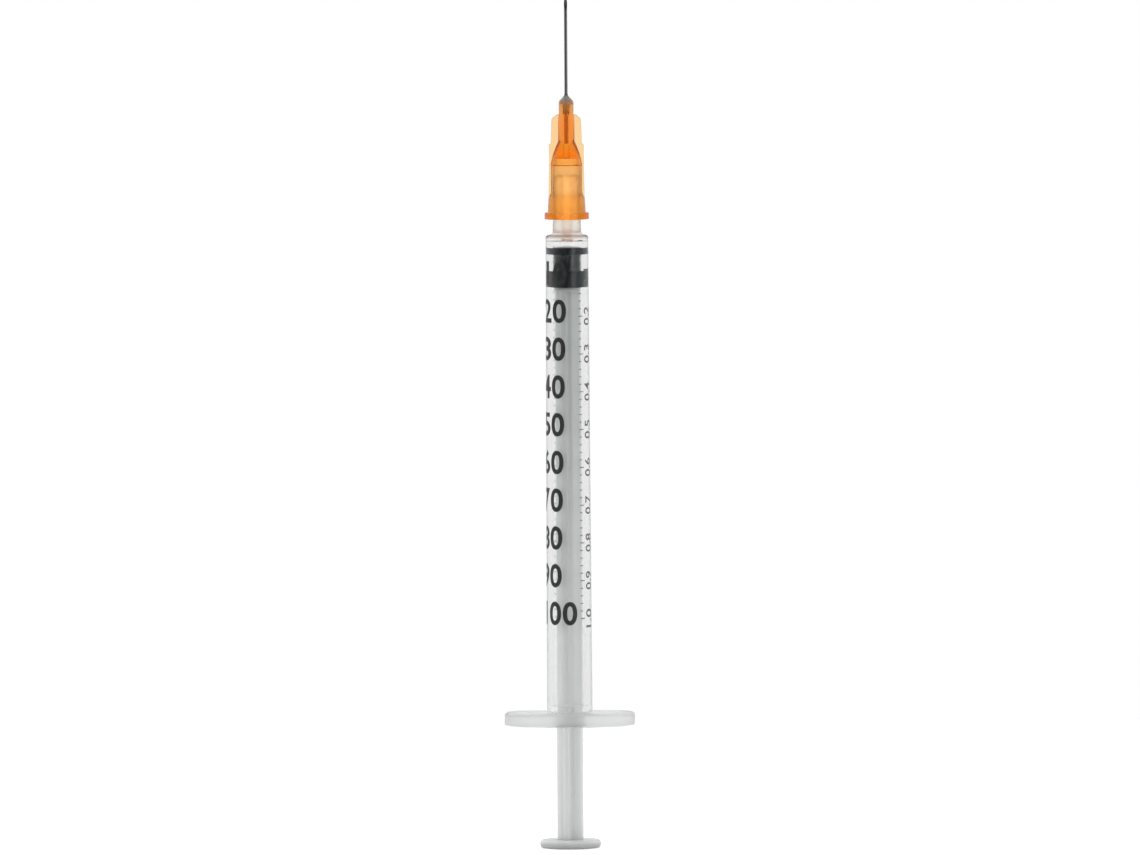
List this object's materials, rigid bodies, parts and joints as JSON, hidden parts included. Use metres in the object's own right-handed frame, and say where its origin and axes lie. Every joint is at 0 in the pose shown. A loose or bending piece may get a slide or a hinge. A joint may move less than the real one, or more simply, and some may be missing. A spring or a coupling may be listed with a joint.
{
  "type": "insulin syringe",
  "caption": "Slim clear syringe with a flat finger flange, cross-ribbed plunger rod with thumb disk, black ribbed rubber stopper and a finned orange needle hub with a fine cannula.",
  "frame": {"origin": "on the syringe's axis, at the underside of the thumb disk, which it stands on", "axes": "+Z along the syringe towards the needle's point, X along the finger flange, -Y towards the viewer of the picture"},
  "size_m": [0.0204, 0.01, 0.1329],
  "materials": {
    "frosted_rod": "frosted, faintly translucent polypropylene",
    "stopper_rubber": "smooth, lightly oiled black rubber",
    "clear_barrel": "clear, slightly hazy polypropylene",
    "orange_hub": "translucent orange, moulded gloss",
    "needle_steel": "drawn and polished stainless steel",
    "cured_glue": "cured grey resin"
  },
  "bodies": {
    "rod": {"plunger_rod": "frosted_rod"},
    "stopper": {"stopper": "stopper_rubber"},
    "barrel": {"barrel": "clear_barrel"},
    "needle": {"needle_hub": "orange_hub", "cannula": "needle_steel", "adhesive_bead": "cured_glue"}
  },
  "joints": [
    {"name": "rod_spin", "type": "hinge", "parent": "rod", "child": "stopper", "pos_m": [0, 0, 0.0875], "axis": [0, 0, 1], "continuous": true},
    {"name": "plunger_slide", "type": "slide", "parent": "stopper", "child": "barrel", "axis": [0, 0, 1], "range_m": [-0.00095, 0.065]},
    {"name": "needle_pull", "type": "slide", "parent": "barrel", "child": "needle", "axis": [0, 0, 1], "range_m": [0, 0.012]}
  ]
}
